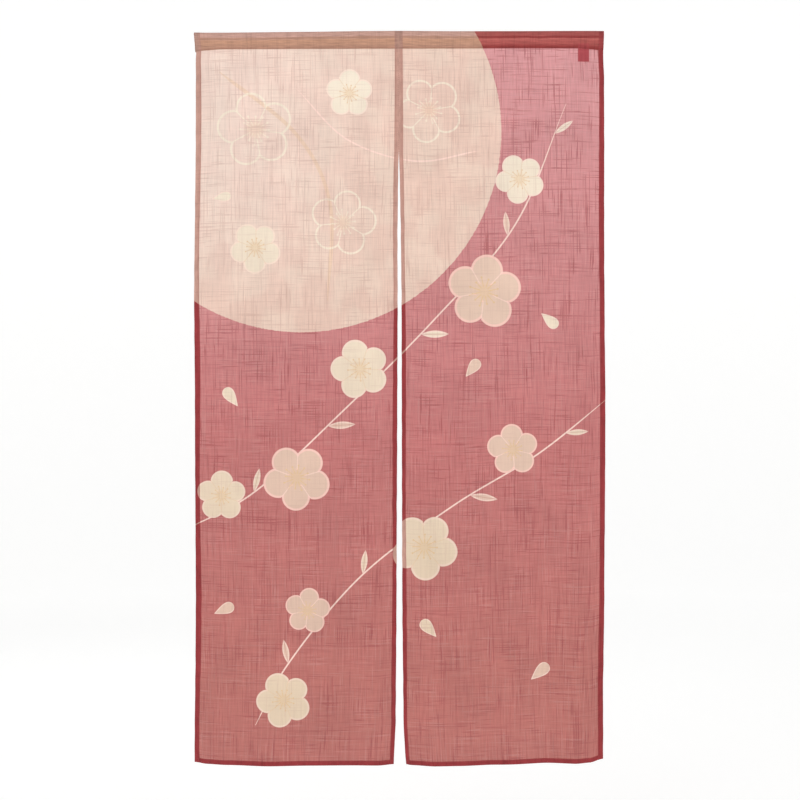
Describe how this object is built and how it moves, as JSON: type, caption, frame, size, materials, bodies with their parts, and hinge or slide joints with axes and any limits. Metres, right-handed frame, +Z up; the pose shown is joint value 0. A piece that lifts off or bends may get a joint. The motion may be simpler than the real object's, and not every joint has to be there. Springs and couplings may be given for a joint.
{
  "type": "noren curtain",
  "caption": "Split door curtain of thin slub cloth with a sewn rod pocket, hemmed edges, a centre slit and a blossom print.",
  "frame": {"origin": "centre of the top edge, where a rod would carry the curtain", "axes": "+Z up along the cloth's length, +X to the right seen from the front, +Y to the back through the thin cloth"},
  "size_m": [0.8533, 0.0191, 1.5272],
  "materials": {
    "panel_cloth": "thin slub weave, matt, rose with a pale print",
    "heading_cloth": "the same slub weave in several layers, matt, deeper rose",
    "tape": "plain folded tape, matt, crimson",
    "thread": "sewing thread, matt, crimson"
  },
  "bodies": {
    "root": {"heading_left": "heading_cloth", "heading_right": "heading_cloth", "panel_left": "panel_cloth", "panel_right": "panel_cloth", "tab": "tape"}
  },
  "joints": []
}
